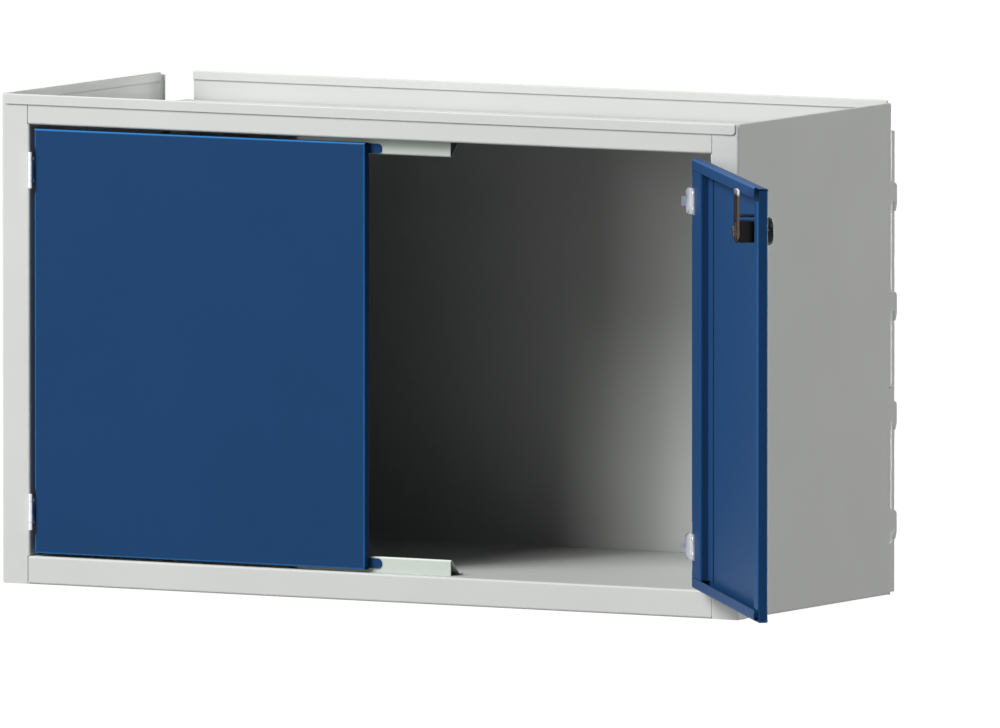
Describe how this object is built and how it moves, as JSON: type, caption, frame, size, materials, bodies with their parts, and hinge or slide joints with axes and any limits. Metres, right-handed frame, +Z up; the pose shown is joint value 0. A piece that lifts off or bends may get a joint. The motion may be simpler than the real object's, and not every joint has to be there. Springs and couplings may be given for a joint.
{
  "type": "double door cabinet",
  "caption": "Sheet-steel cabinet with inset double doors, cam lock, open top tray and rear hooks that hang it between slotted bench uprights.",
  "frame": {"origin": "middle of the width, on the front plane of the uprights that the cabinet hangs on, at the height of its base", "axes": "+X along the width to the side with the lock, +Y back into the uprights, +Z up"},
  "size_m": [0.9504, 0.6053, 0.45],
  "materials": {
    "body_paint": "light grey powder coat, satin",
    "strike_paint": "grey-green powder coat, satin",
    "door_paint": "blue powder coat, satin",
    "zinc_plate": "bright zinc",
    "lock_metal": "nickel plated",
    "lock_black": "black, satin"
  },
  "bodies": {
    "cabinet": {"left_side": "body_paint", "right_side": "body_paint", "floor_panel": "body_paint", "top_tray": "body_paint", "back_panel": "body_paint", "top_strike": "strike_paint", "bottom_strike": "strike_paint", "left_lower_frame_leaf": "zinc_plate", "left_upper_frame_leaf": "zinc_plate", "right_lower_frame_leaf": "zinc_plate", "right_upper_frame_leaf": "zinc_plate", "left_lower_pin": "zinc_plate", "left_upper_pin": "zinc_plate", "right_lower_pin": "zinc_plate", "right_upper_pin": "zinc_plate", "left_frame_rivets": "zinc_plate", "right_frame_rivets": "zinc_plate"},
    "left_door": {"left_door_panel": "door_paint", "left_door_stiffener": "door_paint", "left_lower_door_leaf": "zinc_plate", "left_upper_door_leaf": "zinc_plate", "left_door_rivets": "zinc_plate"},
    "right_door": {"right_door_panel": "door_paint", "right_door_stiffener": "door_paint", "right_lower_door_leaf": "zinc_plate", "right_upper_door_leaf": "zinc_plate", "right_door_rivets": "zinc_plate", "lock_housing": "lock_black", "lock_clip": "zinc_plate"},
    "lock_barrel": {"lock_plug": "lock_metal", "lock_cam": "zinc_plate", "cam_screw": "zinc_plate"}
  },
  "joints": [
    {"name": "left_door_hinge", "type": "hinge", "parent": "cabinet", "child": "left_door", "pos_m": [-0.3526, -0.2975, 0], "axis": [0, 0, -1], "range_deg": [0, 128.4]},
    {"name": "right_door_hinge", "type": "hinge", "parent": "cabinet", "child": "right_door", "pos_m": [0.3526, -0.2975, 0], "axis": [0, 0, 1], "range_deg": [-128.4, 0]},
    {"name": "lock_turn", "type": "hinge", "parent": "right_door", "child": "lock_barrel", "pos_m": [0.54775, -0.54936, 0.378], "axis": [-0.7837, -0.6211, 0], "range_deg": [0, 90]}
  ]
}
